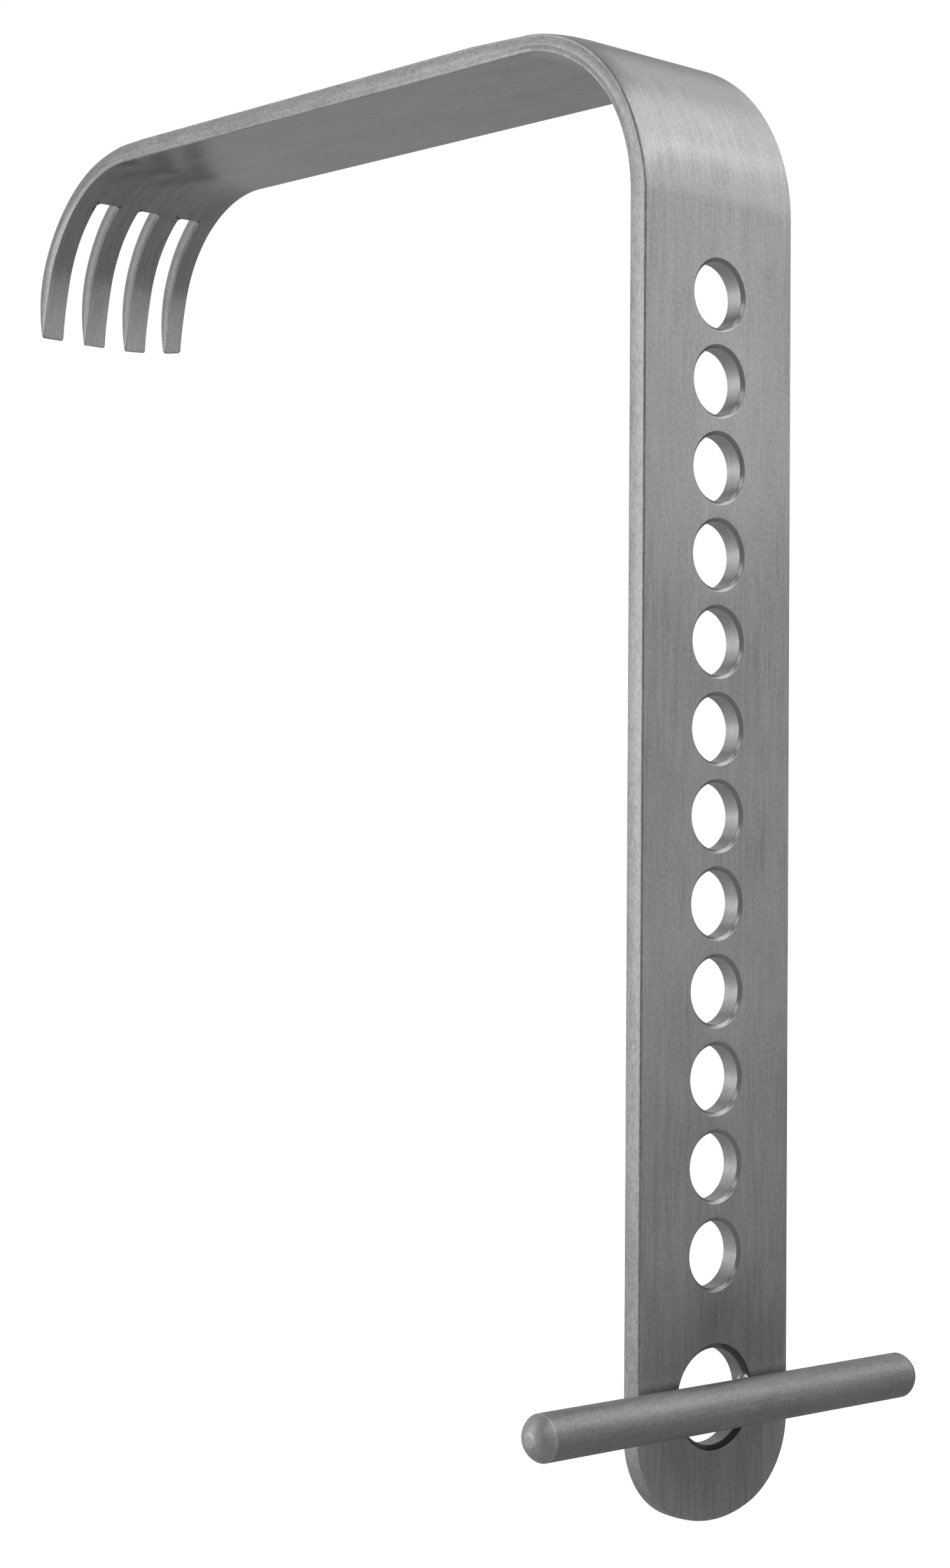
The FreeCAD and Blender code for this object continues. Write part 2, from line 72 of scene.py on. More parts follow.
def makeCamera(values):
    yaw, pitch = math.radians(values["yaw"]), math.radians(values["pitch"])
    back = -Vector((math.sin(yaw) * math.cos(pitch), math.cos(yaw) * math.cos(pitch), math.sin(pitch)))
    right = Vector((math.cos(yaw), -math.sin(yaw), 0))
    turned = Matrix((right, back.cross(right), back)).transposed()
    lens = bpy.data.cameras.new("camera")
    lens.sensor_fit = "VERTICAL"
    lens.sensor_height = values["sensor"]
    lens.lens = values["lens"]
    camera = bpy.data.objects.new("camera", lens)
    rolled = turned @ Matrix.Rotation(math.radians(values["roll"]), 3, "Z")
    camera.matrix_world = Matrix.Translation(values["place"]) @ rolled.to_4x4()
    scene.collection.objects.link(camera)
    return camera


scene.camera = makeCamera(viewpoint)
print("camera placed")


# A wire carries one shader socket, so that arithmetic on values adds its nodes.
class Wire:
    def __init__(self, tree, socket=None):
        self.tree = tree
        self.socket = socket

    def add(self, kind, settings=None, inputs=None, output=0):
        node = self.tree.nodes.new("ShaderNode" + kind)
        for name, value in (settings or {}).items():
            setattr(node, name, value)
        for name, value in (inputs or {}).items():
            if isinstance(value, Wire):
                self.tree.links.new(value.socket, node.inputs[name])
            else:
                node.inputs[name].default_value = value
        return Wire(self.tree, node.outputs[output] if node.outputs else None)

    def work(self, operation, first, second=0.0):
        return self.add("Math", {"operation": operation}, {0: first, 1: second})

    def __add__(self, other):
        return self.work("ADD", self, other)

    def __sub__(self, other):
        return self.work("SUBTRACT", self, other)

    def __rsub__(self, other):
        return self.work("SUBTRACT", other, self)

    def __mul__(self, other):
        return self.work("MULTIPLY", self, other)

    def __pow__(self, other):
        return self.work("POWER", self, other)

    __radd__ = __add__
    __rmul__ = __mul__

    def between(self, low, high):
        spread = {"Value": self, "From Min": low, "From Max": high}
        return self.add("MapRange", {"interpolation_type": "SMOOTHSTEP"}, spread)


# Studio: big soft panels round the object, and a dim, uneven room that the steel mirrors. The camera
# sees the room as plain white. Distances and sizes are in metres.
studio = {
    "ambient": 0.20,
    "background": 1.0,
    "glows": [
        # azimuth (0 is +Y, 90 is +X), elevation, tightness, strength (below 0 dims the room)
        (20, 10, 4, 0.22),
        (50, 33, 14, 0.12),
        (152, -2, 40, 0.32),
        (-46, 6, 12, 0.32),
        (-46, -25, 8, 0.14),
        (330, -30, 5, 0.04),
        (80, 0, 10, -0.14),
    ],
    "panels": [
        # name, azimuth, distance, height, width, length, strength
        ("front right", 140, 0.70, 0.46, 0.95, 0.30, 0.58),
        ("front right upper", 135, 0.60, 0.78, 0.80, 0.34, 0.32),
        ("over the bend", 112, 0.32, 0.45, 0.64, 0.26, 0.48),
        ("middle right", 132, 0.70, 0.21, 0.42, 0.20, 0.44),
        ("low right", 132, 0.70, 0.00, 0.42, 0.20, 0.14),
        ("overhead front", 180, 0.38, 0.95, 0.36, 0.36, 0.45),
        ("left", -62, 0.70, 0.12, 0.36, 0.55, 0.60),
        ("left high", -40, 0.70, 0.62, 0.60, 0.36, 0.28),
        ("over the camera", 215, 0.85, 0.62, 0.65, 0.40, 0.50),
    ],
    "aim": (0.0, 0.05, 0.0),
}


def direction(azimuth, elevation):
    turn, lift = math.radians(azimuth), math.radians(elevation)
    return Vector((math.sin(turn) * math.cos(lift), math.cos(turn) * math.cos(lift), math.sin(lift)))


def makeStudio(values):
    world = bpy.data.worlds.new("studio")
    world.use_nodes = True
    scene.world = world
    tree = world.node_tree
    tree.nodes.clear()
    wire = Wire(tree)
    looking = wire.add("TexCoord", output="Generated")
    light = values["ambient"]
    for azimuth, elevation, tightness, strength in values["glows"]:
        towards = {0: looking, 1: direction(azimuth, elevation)}
        facing = wire.add("VectorMath", {"operation": "DOT_PRODUCT"}, towards, "Value")
        light = light + strength * wire.work("MAXIMUM", facing, 0.0) ** tightness
    seen = wire.add("LightPath", output="Is Camera Ray")
    strength = light * (1 - seen) + values["background"] * seen
    sky = wire.add("Background", inputs={"Color": (1, 1, 1, 1), "Strength": strength})
    wire.add("OutputWorld", inputs={"Surface": sky})


# the floor also shines by itself, so that the paper is as white as what stands behind it
floorLook = {
    "radius": 3.0, "rings": 24, "corners": 96, "grey": 0.86, "lift": 0.86, "roughness": 0.6,
    "fibres": 900.0, "fibreTone": 0.01, "clouds": 3.0, "cloudTone": 0.02,
    "fibreRelief": 0.05, "fibreDepth": 0.0002,
}


def makeFloor(values):
    shape = bmesh.new()
    level = cadBox[0].z
    middle = shape.verts.new((0, 0, level))
    ring = None
    for step in range(1, values["rings"] + 1):
        reach = values["radius"] * (step / values["rings"]) ** 2
        outer = []
        for corner in range(values["corners"]):
            turn = 2 * math.pi * corner / values["corners"]
            outer.append(shape.verts.new((reach * math.cos(turn), reach * math.sin(turn), level)))
        for i in range(values["corners"]):
            j = (i + 1) % values["corners"]
            inner = (ring[j], ring[i]) if ring else (middle,)
            shape.faces.new((outer[i], outer[j], *inner))
        ring = outer
    floor = newPiece("floor", shape)
    material = bpy.data.materials.new("pale paper")
    material.use_nodes = True
    tree = material.node_tree
    tree.nodes.clear()
    wire = Wire(tree)
    place = wire.add("TexCoord", output="Object")
    fibres = wire.add("TexNoise", inputs={"Vector": place, "Scale": values["fibres"], "Detail": 3.0})
    clouds = wire.add("TexNoise", inputs={"Vector": place, "Scale": values["clouds"]})
    tone = values["grey"] + values["cloudTone"] * (clouds - 0.5) + values["fibreTone"] * (fibres - 0.5)
    colour = wire.add("CombineColor", inputs={"Red": tone, "Green": tone, "Blue": tone})
    relief = {"Height": fibres, "Strength": values["fibreRelief"], "Distance": values["fibreDepth"]}
    bump = wire.add("Bump", inputs=relief)
    paper = wire.add("BsdfPrincipled", inputs={
        "Base Color": colour, "Roughness": values["roughness"], "Normal": bump,
        "Emission Color": (1, 1, 1, 1), "Emission Strength": values["lift"],
    })
    wire.add("OutputMaterial", inputs={"Surface": paper})
    floor.data.materials.append(material)
    floor.visible_glossy = False


def makePanels(values):
    aim = Vector(values["aim"])
    for name, azimuth, distance, height, width, length, strength in values["panels"]:
        lamp = bpy.data.lights.new(name, "AREA")
        lamp.shape = "RECTANGLE"
        lamp.size, lamp.size_y = width, length
        # so that a panel of strength 1 looks as bright as white paper
        lamp.energy = math.pi * width * length * strength
        panel = bpy.data.objects.new(name, lamp)
        panel.location = aim + direction(azimuth, 0) * distance + Vector((0, 0, height))
        panel.rotation_euler = (panel.location - aim).to_track_quat("Z", "Y").to_euler()
        panel.visible_camera = False
        scene.collection.objects.link(panel)


def newPiece(name, shape, materials=()):
    mesh = bpy.data.meshes.new(name)
    shape.to_mesh(mesh)
    shape.free()
    mesh.shade_smooth()
    for material in materials:
        mesh.materials.append(material)
    piece = bpy.data.objects.new(name, mesh)
    scene.collection.objects.link(piece)
    return piece


makeStudio(studio)
makeFloor(floorLook)
makePanels(studio)
print("studio ready")


# Finishes of the steel. The "blank" attribute holds each point's place on the flat strap or along the
# rod, in metres, so the grain follows the bends, and "edge" says how worn the point is, and how much
# painted highlight its rim gets. The sizes of grain, grit and clouds are in millimetres, and their tones
# are shares of the grey.
brushedFace = {
    "grey": 0.60, "roughness": 0.30, "grainAcross": 0.40, "grainAlong": 9.0, "grainTone": 0.62,
    "grainRough": 0.14, "grainDepth": 0.012, "grit": 0.45, "gritTone": 0.65, "gritDepth": 0.012,
    "clouds": 12.0, "cloudTone": 0.42, "pits": True, "brushed": 0.75, "barShade": 0.34, "rimWearAndHighlight": 0.05,
}
tumbledEdge = {
    "grey": 0.60, "roughness": 0.36, "grainAcross": 0.6, "grainAlong": 2.0, "grainTone": 0.50,
    "grainRough": 0.10, "grainDepth": 0.012, "grit": 0.40, "gritTone": 0.90, "gritDepth": 0.024,
    "clouds": 8.0, "cloudTone": 0.35, "pits": False, "brushed": 0.0, "barShade": 0.0, "rimWearAndHighlight": 0.05,
}
drilledWall = {
    "grey": 0.68, "roughness": 0.42, "grainAcross": 0.35, "grainAlong": 2.5, "grainTone": 0.30,
    "grainRough": 0.10, "grainDepth": 0.008, "grit": 0.6, "gritTone": 0.45, "gritDepth": 0.008,
    "clouds": 4.0, "cloudTone": 0.25, "pits": False, "brushed": 0.0, "barShade": 0.35, "rimWearAndHighlight": 0.10,
}
countersunk = {
    "grey": 0.54, "roughness": 0.28, "grainAcross": 0.25, "grainAlong": 4.0, "grainTone": 0.25,
    "grainRough": 0.12, "grainDepth": 0.006, "grit": 0.5, "gritTone": 0.30, "gritDepth": 0.006,
    "clouds": 5.0, "cloudTone": 0.20, "pits": False, "brushed": 0.0, "barShade": 0.60, "rimWearAndHighlight": 0.20,
}
satinRod = {
    "grey": 0.52, "roughness": 0.48, "grainAcross": 0.45, "grainAlong": 6.0, "grainTone": 0.30,
    "grainRough": 0.10, "grainDepth": 0.012, "grit": 0.34, "gritTone": 0.85, "gritDepth": 0.022,
    "clouds": 7.0, "cloudTone": 0.40, "pits": True, "brushed": 0.3, "barShade": 0.0, "rimWearAndHighlight": 0.25,
}
domedEnd = {
    "grey": 0.74, "roughness": 0.50, "grainAcross": 0.5, "grainAlong": 0.5, "grainTone": 0.20,
    "grainRough": 0.10, "grainDepth": 0.010, "grit": 0.35, "gritTone": 0.60, "gritDepth": 0.020,
    "clouds": 2.5, "cloudTone": 0.40, "pits": False, "brushed": 0.0, "barShade": 0.0, "rimWearAndHighlight": 0.40,
}
weldMetal = {
    "grey": 0.85, "roughness": 0.26, "grainAcross": 0.4, "grainAlong": 0.4, "grainTone": 0.30,
    "grainRough": 0.18, "grainDepth": 0.02, "grit": 0.5, "gritTone": 0.40, "gritDepth": 0.02,
    "clouds": 2.0, "cloudTone": 0.5, "pits": False, "brushed": 0.0, "barShade": 0.0, "rimWearAndHighlight": 0.0,
}


# what all the finishes share: how much wider and longer each pattern is than its named size, how the
# clouds and the worn edges change the roughness, the small pits, of which some cells have one each, and
# the painted shade on the strap round the end hole, where the crossbar lies across it, whose middle and
# reach are in millimetres
steelMarks = {
    "streakWidth": 4, "streakLength": 3, "streakTone": 0.7, "gritLength": 1.6, "cloudLength": 2,
    "cloudRough": 0.08, "edgePolish": 0.08,
    "cellsPerMetre": 70.0, "pitChance": (0.55, 0.60), "pitReach": (0.008, 0.018), "pitTone": 0.45,
    "barShadeMiddle": (0, 0, 22.35), "barShadeReach": (10, 32), "barShadeWander": 4,
}


def steel(name, look):
    material = bpy.data.materials.new(name)
    material.use_nodes = True
    tree = material.node_tree
    tree.nodes.clear()
    wire = Wire(tree)
    blank = wire.add("Attribute", {"attribute_name": "blank"}, output="Vector")
    edge = wire.add("Attribute", {"attribute_name": "edge"}, output="Fac")

    def pattern(across, along, detail, turbulence=0.0):
        scale = (1 / (across * mm), 1 / (across * mm), 1 / (along * mm))
        stretched = wire.add("Mapping", inputs={"Vector": blank, "Scale": scale})
        seen = {"Vector": stretched, "Scale": 1.0, "Detail": detail, "Distortion": turbulence}
        return wire.add("TexNoise", inputs=seen) - 0.5

    grain = pattern(look["grainAcross"], look["grainAlong"], 3.0)
    streakAcross = look["grainAcross"] * steelMarks["streakWidth"]
    streaks = pattern(streakAcross, look["grainAlong"] * steelMarks["streakLength"], 2.0)
    grit = pattern(look["grit"], look["grit"] * steelMarks["gritLength"], 3.0, 0.4)
    clouds = pattern(look["clouds"], look["clouds"] * steelMarks["cloudLength"], 2.0, 0.6)
    tone = 1 + look["grainTone"] * (grain + steelMarks["streakTone"] * streaks) + look["gritTone"] * grit
    # the worn rims are painted lighter: partly wear, partly a painted highlight along the rounded edges and
    # ridges
    tone = tone + look["cloudTone"] * clouds + look["rimWearAndHighlight"] * edge
    roughness = look["roughness"] + look["grainRough"] * (grain + streaks)
    roughness = roughness + steelMarks["cloudRough"] * clouds - steelMarks["edgePolish"] * edge
    if look["pits"]:
        cells = wire.add("Mapping", inputs={"Vector": blank, "Scale": (steelMarks["cellsPerMetre"],) * 3})
        spot = wire.add("TexVoronoi", inputs={"Vector": cells, "Scale": 1.0}, output="Distance")
        chance = wire.add("TexVoronoi", inputs={"Vector": cells, "Scale": 1.0}, output="Color")
        rare = wire.add("SeparateColor", inputs={"Color": chance}).between(*steelMarks["pitChance"])
        pit = 1 - spot.between(*steelMarks["pitReach"])
        tone = tone * (1 - steelMarks["pitTone"] * rare * pit)
    if look["barShade"]:
        # painted shade: the strap, its hole walls and countersinks are painted darker round the end hole,
        # where the crossbar lies across it
        near, far = (reach * mm for reach in steelMarks["barShadeReach"])
        ends = {0: blank, 1: Vector(steelMarks["barShadeMiddle"]) * mm}
        away = wire.add("VectorMath", {"operation": "DISTANCE"}, ends, "Value")
        unshaded = (away + steelMarks["barShadeWander"] * mm * clouds).between(near, far)
        tone = tone * (1 - look["barShade"] * (1 - unshaded))
    tone = look["grey"] * tone
    colour = wire.add("CombineColor", inputs={"Red": tone, "Green": tone, "Blue": tone})
    relief = look["grainDepth"] * (grain + streaks) + look["gritDepth"] * grit
    bump = wire.add("Bump", inputs={"Height": relief, "Strength": 1.0, "Distance": mm})
    surface = wire.add("BsdfPrincipled", inputs={
        "Base Color": colour, "Metallic": 1.0, "Roughness": roughness, "Normal": bump,
        "Anisotropic": look["brushed"],
    })
    wire.add("OutputMaterial", inputs={"Surface": surface})
    return material


# The shader's own tangent circles the middle of the texture space. That is put far off along Y, so
# that the brushed shine spreads along X everywhere.
def brushAcross(piece):
    piece.data.use_auto_texspace = False
    piece.data.texspace_location = (0, 100, 0)
    return piece


# The blade is a flat blank, worked out as (across, along) in millimetres, then bent to shape. Angles are
# in degrees, and each bend's radius is that of its outer face.
blade = {
    "width": 38.75, "thickness": 4.0, "skin": 0.02,
    "edgeRound": 0.45, "backRound": 0.28, "edgeDepth": 0.55, "depthShare": 0.4, "crown": 0.08,
    "armRound": 0.75, "armRoundFrom": 30.0, "armRoundOver": 30.0, "armRoundFade": 20.0,
    "armCrown": 0.36, "armCrownOver": 40.0,
    "foot": -136.15, "noseRound": 24.7, "cornerRound": 16.3,
    "bendStart": 104.5, "firstBend": 35.8, "armRise": 1.9, "armLength": 133.7,
    "secondBend": 34.0, "secondAngle": 76.0, "prongBend": 94.0, "prongAngle": 9.15,
    "slotWidth": 5.5, "slotPlaces": (-10.85, 0.5, 11.85), "slotStart": 37.5, "slotCorner": 0.8,
    "tipCorner": 0.7, "tipShort": ((0.25, 0.2), (-0.2, 0.0), (-0.1, 0.25), (0.95, 1.45)),
    "grindLength": 15.8, "grindRound": 26.5, "prongLean": (-0.1, 0.15, 0.28, 0.25),
    "edgeDrop": 0.7, "dropWidth": 7.0, "dropLead": 14.0, "dropEarly": 5.6, "dropStop": 6.0,
}
# where the blade's net has rows and columns of points: steps along it and round its arcs, and how near
# they come to a bend, a slot's foot, a tip or a side
net = {
    "armStart": 28.0, "armRows": 31, "straightStep": 7.0, "bendStep": 1.8, "rakeStep": 1.5,
    "bendLead": 2.0, "footBelow": 1.2, "footAbove": 1.4, "tipBelow": 1.0, "margin": 0.1, "least": 0.35,
    "pastBend": 16.0, "beforeBend": 8.0, "sideGap": 1.1, "wideSideGap": 0.7, "wide": 30.0,
    "noseSteps": 26, "cornerSteps": 6, "underCorner": 0.2, "edgeSteps": 5, "sideShare": 1.4, "nearSide": 0.5,
    "columns": (18.4, 17.6, 16.4, 14.8, 12.0, 7.0, 2.5),
}
firstTurn = math.radians(90 - blade["armRise"])
secondTurn = math.radians(blade["secondAngle"])
prongTurn = math.radians(blade["prongAngle"])
# the strap's runs from its round end on: length along the outer face, and radius of that face
runs = [
    (blade["bendStart"] - blade["foot"], None),
    (firstTurn * blade["firstBend"], blade["firstBend"]),
    (blade["armLength"], None),
    (secondTurn * blade["secondBend"], blade["secondBend"]),
    (prongTurn * blade["prongBend"], blade["prongBend"]),
]
marks = [sum(length for length, _ in runs[:i]) for i in range(len(runs) + 1)]
slotFoot = marks[3] + math.radians(blade["slotStart"]) * blade["secondBend"]


# a point of the blank, at a depth below the outer face, where it lies on the bent strap
def bent(across, along, depth):
    y, z, heading = 0.0, blade["foot"], math.pi / 2
    for length, radius in runs:
        step = min(along, length)
        if radius:
            y += radius * math.sin(heading)
            z -= radius * math.cos(heading)
            heading -= step / radius
            y -= radius * math.sin(heading)
            z += radius * math.cos(heading)
        else:
            y += step * math.cos(heading)
            z += step * math.sin(heading)
        along -= step
    return Vector((across, y + depth * math.sin(heading), z - depth * math.cos(heading))) * mm


def smooth(value):
    value = min(max(value, 0.0), 1.0)
    return value * value * (3 - 2 * value)


# how deep the outer face lies where the prongs' backs are ground to an edge
def groundDepth(along):
    past = along - (marks[5] - blade["grindLength"])
    if past <= 0:
        return 0.0
    big, small = blade["prongBend"], blade["grindRound"]
    turn = past / big
    return big - (big - small) * math.cos(turn) - math.sqrt(small**2 - ((big - small) * math.sin(turn)) ** 2)


# how far the outer face's near rim has been drawn down where the strap is bent
def edgeDrop(across, along):
    lead = blade["dropLead"]
    # it grows from the first bend's start, and fades past that bend's end
    first = smooth((along - marks[1]) / lead) * smooth((marks[2] + lead - along) / lead)
    # it grows again from a little before the second bend, and fades before the tips
    start, stop = marks[3] - blade["dropEarly"], marks[5] - blade["dropStop"]
    second = smooth((along - start) / lead) * smooth((stop - along) / (2 * lead))
    rim = (-across - blade["width"] / 2 + blade["dropWidth"]) / blade["dropWidth"]
    return blade["edgeDrop"] * max(first, second) * max(rim, 0.0) ** 2


# a point of the side's profile: how far in from the outline, and how deep below the face. The share
# is 0 at the face, 1 where the rounded edge ends, and 2 at the middle of the side.
def sideProfile(along, share, front, near):
    thick = blade["thickness"] - groundDepth(along)
    radius = blade["edgeRound"] if front else blade["backRound"]
    if near and not front:
        rise = smooth((along - marks[1] - blade["armRoundFrom"]) / blade["armRoundOver"])
        radius += (blade["armRound"] - radius) * rise * smooth((marks[4] - along) / blade["armRoundFade"])
    deep = min(blade["edgeDepth"] if front else radius, blade["depthShare"] * thick)
    onArm = smooth((along - marks[1]) / blade["armCrownOver"])
    crown = blade["crown"] + (blade["armCrown"] - blade["crown"]) * onArm
    crown = crown * thick / blade["thickness"]
    if share <= 1:
        turn = share * math.pi / 2
        return crown + (radius - crown) * (1 - math.sin(turn)), deep * (1 - math.cos(turn))
    run = share - 1
    return crown * (1 - run) ** 2, deep + run * (thick / 2 - deep)


def arcPoints(centre, radius, start, end, steps):
    turns = [math.radians(start + (end - start) * i / steps) for i in range(steps + 1)]
    return [(centre[0] + radius * math.cos(t), centre[1] + radius * math.sin(t)) for t in turns]


# where the outline and the bends have a row of points
def makeStations():
    rows = [net["armStart"] + net["straightStep"] * i for i in range(net["armRows"])]
    steps = [(1, 2, net["bendStep"]), (2, 3, net["straightStep"]), (3, 5, net["rakeStep"])]
    for start, end, step in steps:
        first, last = marks[start], marks[end]
        count = round((last - first) / step)
        rows += [first + (last - first) * i / count for i in range(count + 1)]
    low, high, top = slotFoot - net["footBelow"], slotFoot + net["footAbove"], marks[5] - net["tipBelow"]
    rows += [marks[1] - net["bendLead"], low, high, top]
    rows = sorted(set(round(r, 4) for r in rows))
    margin = net["margin"]
    clear = [r for r in rows if not low + margin < r < high - margin and r < top + margin]
    return [r for i, r in enumerate(clear) if i == 0 or r - clear[i - 1] > net["least"]]


# the blank's outline, anticlockwise, as one closed line of (across, along): the round end, the right
# side, each prong and slot from right to left, and the left side
def makeOutline(stations):
    half, nose, corner = blade["width"] / 2, blade["noseRound"], blade["cornerRound"]
    lean = math.degrees(math.acos((half - corner) / (nose - corner)))
    side = nose - math.sqrt((nose - corner) ** 2 - (half - corner) ** 2)
    right = arcPoints((0, nose), nose, 270, 360 - lean, net["noseSteps"])[:-1]
    right += arcPoints((half - corner, side), corner, 360 - lean, 360, net["noseSteps"])
    gaps = [(p - blade["slotWidth"] / 2, p + blade["slotWidth"] / 2) for p in blade["slotPlaces"]]
    ends = [-half] + [x for gap in gaps for x in gap] + [half]
    tip, fillet, turns = blade["tipCorner"], blade["slotCorner"], net["cornerSteps"]
    reach = marks[5] - slotFoot
    points = list(right)
    for number in range(len(gaps), -1, -1):
        low, high = ends[2 * number], ends[2 * number + 1]
        lowEnd, highEnd = (marks[5] - short - tip for short in blade["tipShort"][number])
        lowTop, highTop = lowEnd - net["underCorner"], highEnd - net["underCorner"]
        rising = [s for s in stations if s < highTop and (s > slotFoot or number == len(gaps))]
        falling = [s for s in reversed(stations) if s < lowTop and (s > slotFoot or number == 0)]
        prong = [(high, s) for s in rising]
        prong += arcPoints((high - tip, highEnd), tip, 0, 90, turns)
        prong += arcPoints((low + tip, lowEnd), tip, 90, 180, turns)
        prong += [(low, s) for s in falling]
        points += [(x + blade["prongLean"][number] * smooth((s - slotFoot) / reach), s) for x, s in prong]
        if number:
            points += arcPoints((low - fillet, slotFoot + fillet), fillet, 0, -90, turns)
            points += arcPoints((ends[2 * number - 1] + fillet, slotFoot + fillet), fillet, -90, -180, turns)
    return points + [(-x, s) for x, s in reversed(right)][:-1]


# the outline's normals, a little longer at corners, so that moving along them keeps the sides parallel
def outwardNormals(loop):
    normals = []
    for i, (x, s) in enumerate(loop):
        before, after = loop[i - 1], loop[(i + 1) % len(loop)]
        first = Vector((s - before[1], before[0] - x)).normalized()
        second = Vector((after[1] - s, x - after[0])).normalized()
        normals.append((first + second) / (1 + first.dot(second)))
    return normals


# The holes: sizes in millimetres, "sink" for the countersinks and "lip" for the small round on each rim.
holes = {
    "count": 12, "pitch": 16.0, "diameter": 12.3, "sink": 0.6,
    "endDiameter": 17.5, "endSink": 0.9, "endPlace": -113.8, "corners": 72, "lip": 0.12, "backLip": 0.08,
}


# each hole: where its middle is along the blank, its radius and its countersink
def holeList():
    row = [(i - (holes["count"] - 1) / 2) * holes["pitch"] for i in range(holes["count"])]
    found = [(z - blade["foot"], holes["diameter"] / 2, holes["sink"]) for z in row]
    return found + [(holes["endPlace"] - blade["foot"], holes["endDiameter"] / 2, holes["endSink"])]


# whether a point of the blank lies within a closed line, by the crossings to its right
def inside(point, loop):
    x, s = point
    odd = False
    for (ax, ay), (bx, by) in zip(loop, loop[1:] + loop[:1]):
        if (ay > s) != (by > s) and x < ax + (bx - ax) * (s - ay) / (by - ay):
            odd = not odd
    return odd


faceFinish, rimFinish, drillFinish, sinkFinish = range(4)


# an empty shape, with the two attributes that the finishes read
def newShape():
    shape = bmesh.new()
    return shape, shape.verts.layers.float_vector.new("blank"), shape.verts.layers.float.new("edge")


def makeBlade():
    shape, blankLayer, edgeLayer = newShape()
    thick = blade["thickness"]

    def point(x, s, depth, front, wearAndSheen=0.0):
        down = blade["skin"] + groundDepth(s) + edgeDrop(x, s) + depth if front else thick - depth
        vert = shape.verts.new(bent(x, s, down))
        vert[blankLayer] = Vector((x, down, s)) * mm
        vert[edgeLayer] = wearAndSheen
        return vert

    stations = makeStations()
    outline = makeOutline(stations)
    normals = outwardNormals(outline)
    shares = [i / net["edgeSteps"] for i in range(net["edgeSteps"] + 1)] + [net["sideShare"], 2]
    rings = []
    for front in (True, False):
        for share in shares if front else shares[-2::-1]:
            wearAndSheen = math.sin(math.pi * share) if share < 1 else 0.0
            ring = []
            for (x, s), normal in zip(outline, normals):
                inward, depth = sideProfile(s, share, front, x < -blade["width"] / 2 + net["nearSide"])
                place = Vector((x, s)) - normal * inward
                ring.append(point(place.x, place.y, depth, front, wearAndSheen))
            rings.append(ring)
    loops = [(rings, [rimFinish] * (len(rings) - 1))]

    turns = [-2 * math.pi * i / holes["corners"] for i in range(holes["corners"])]
    for along, radius, sink in holeList():
        # each point of the wall: how far out of the bore, how deep, from which face, and its wear, which
        # also sets the rim's painted highlight
        lip, back = holes["lip"], holes["backLip"]
        profile = [(sink + lip, 0.0, True, 0.3), (sink + 0.35 * lip, 0.3 * lip, True, 1.0)]
        profile += [(sink - 0.6 * lip, 0.85 * lip, True, 0.4), (0.5 * lip, sink - 0.4 * lip, True, 0.2)]
        profile += [(0.1 * lip, sink + 0.1 * lip, True, 0.8), (0.0, sink + lip, True, 0.2)]
        profile += [(0.0, back, False, 0.0), (0.3 * back, 0.3 * back, False, 1.0), (back, 0.0, False, 0.3)]
        bore = []
        for outward, depth, front, wearAndSheen in profile:
            reach = radius + outward
            spots = [(reach * math.cos(t), along + reach * math.sin(t)) for t in turns]
            bore.append([point(x, s, depth, front, wearAndSheen) for x, s in spots])
        loops.append((bore, [faceFinish] + [sinkFinish] * 3 + [drillFinish] * 3 + [rimFinish]))

    # the two flat faces share one net of triangles
    def flat(vert):
        return vert[blankLayer].x / mm, vert[blankLayer].z / mm

    rims = [wall[0] for wall, _ in loops]
    fronts = [vert for rim in rims for vert in rim]
    backs = [vert for wall, _ in loops for vert in wall[-1]]
    edges = []
    start = 0
    for rim in rims:
        edges += [(start + i, start + (i + 1) % len(rim)) for i in range(len(rim))]
        start += len(rim)
    columns = sorted(set(net["columns"]) | set(-c for c in net["columns"]))
    for s in stations:
        # rows across the strap stand only where it bends, and a little beyond
        if s < marks[1] - net["margin"] or marks[2] + net["pastBend"] < s < marks[3] - net["beforeBend"]:
            continue
        row = sorted((x, i) for i, (x, along) in enumerate(outline) if along == s)
        for (low, first), (high, last) in zip(row[::2], row[1::2]):
            chain = [first]
            gap = net["wideSideGap"] if high - low > net["wide"] else net["sideGap"]
            for x in columns:
                if low + gap < x < high - gap:
                    chain.append(len(fronts))
                    fronts.append(point(x, s, 0.0, True))
                    backs.append(point(x, s, 0.0, False))
            chain.append(last)
            edges += list(zip(chain, chain[1:]))
    places = [Vector(flat(vert)) for vert in fronts]
    wholeNet, samePoint = 0, 1e-6
    _, _, triangles, *_ = delaunay_2d_cdt(places, edges, [], wholeNet, samePoint)
    border = [flat(vert) for vert in rims[0]]
    chord = math.cos(math.pi / holes["corners"])
    mouths = [(along, (radius + sink + holes["lip"]) * chord) for along, radius, sink in holeList()]
    for corners in triangles:
        if max(corners) >= len(fronts):
            raise RuntimeError("the blank's net has crossing lines")
        middle = sum((places[i] for i in corners), Vector((0, 0))) / 3
        if any((middle - Vector((0, along))).length < mouth for along, mouth in mouths):
            continue
        if not inside(middle, border):
            continue
        shape.faces.new([fronts[i] for i in corners]).material_index = faceFinish
        shape.faces.new([backs[i] for i in reversed(corners)]).material_index = faceFinish
    for wall, wallFinishes in loops:
        for upper, lower, finish in zip(wall, wall[1:], wallFinishes):
            for i in range(len(upper)):
                j = (i + 1) % len(upper)
                shape.faces.new((upper[i], lower[i], lower[j], upper[j])).material_index = finish
    return shape


# flat faces keep their own shading beside the small rounded edges
def weightedNormals(piece):
    weights = piece.modifiers.new("face weights", "WEIGHTED_NORMAL")
    weights.weight = 60
    return piece


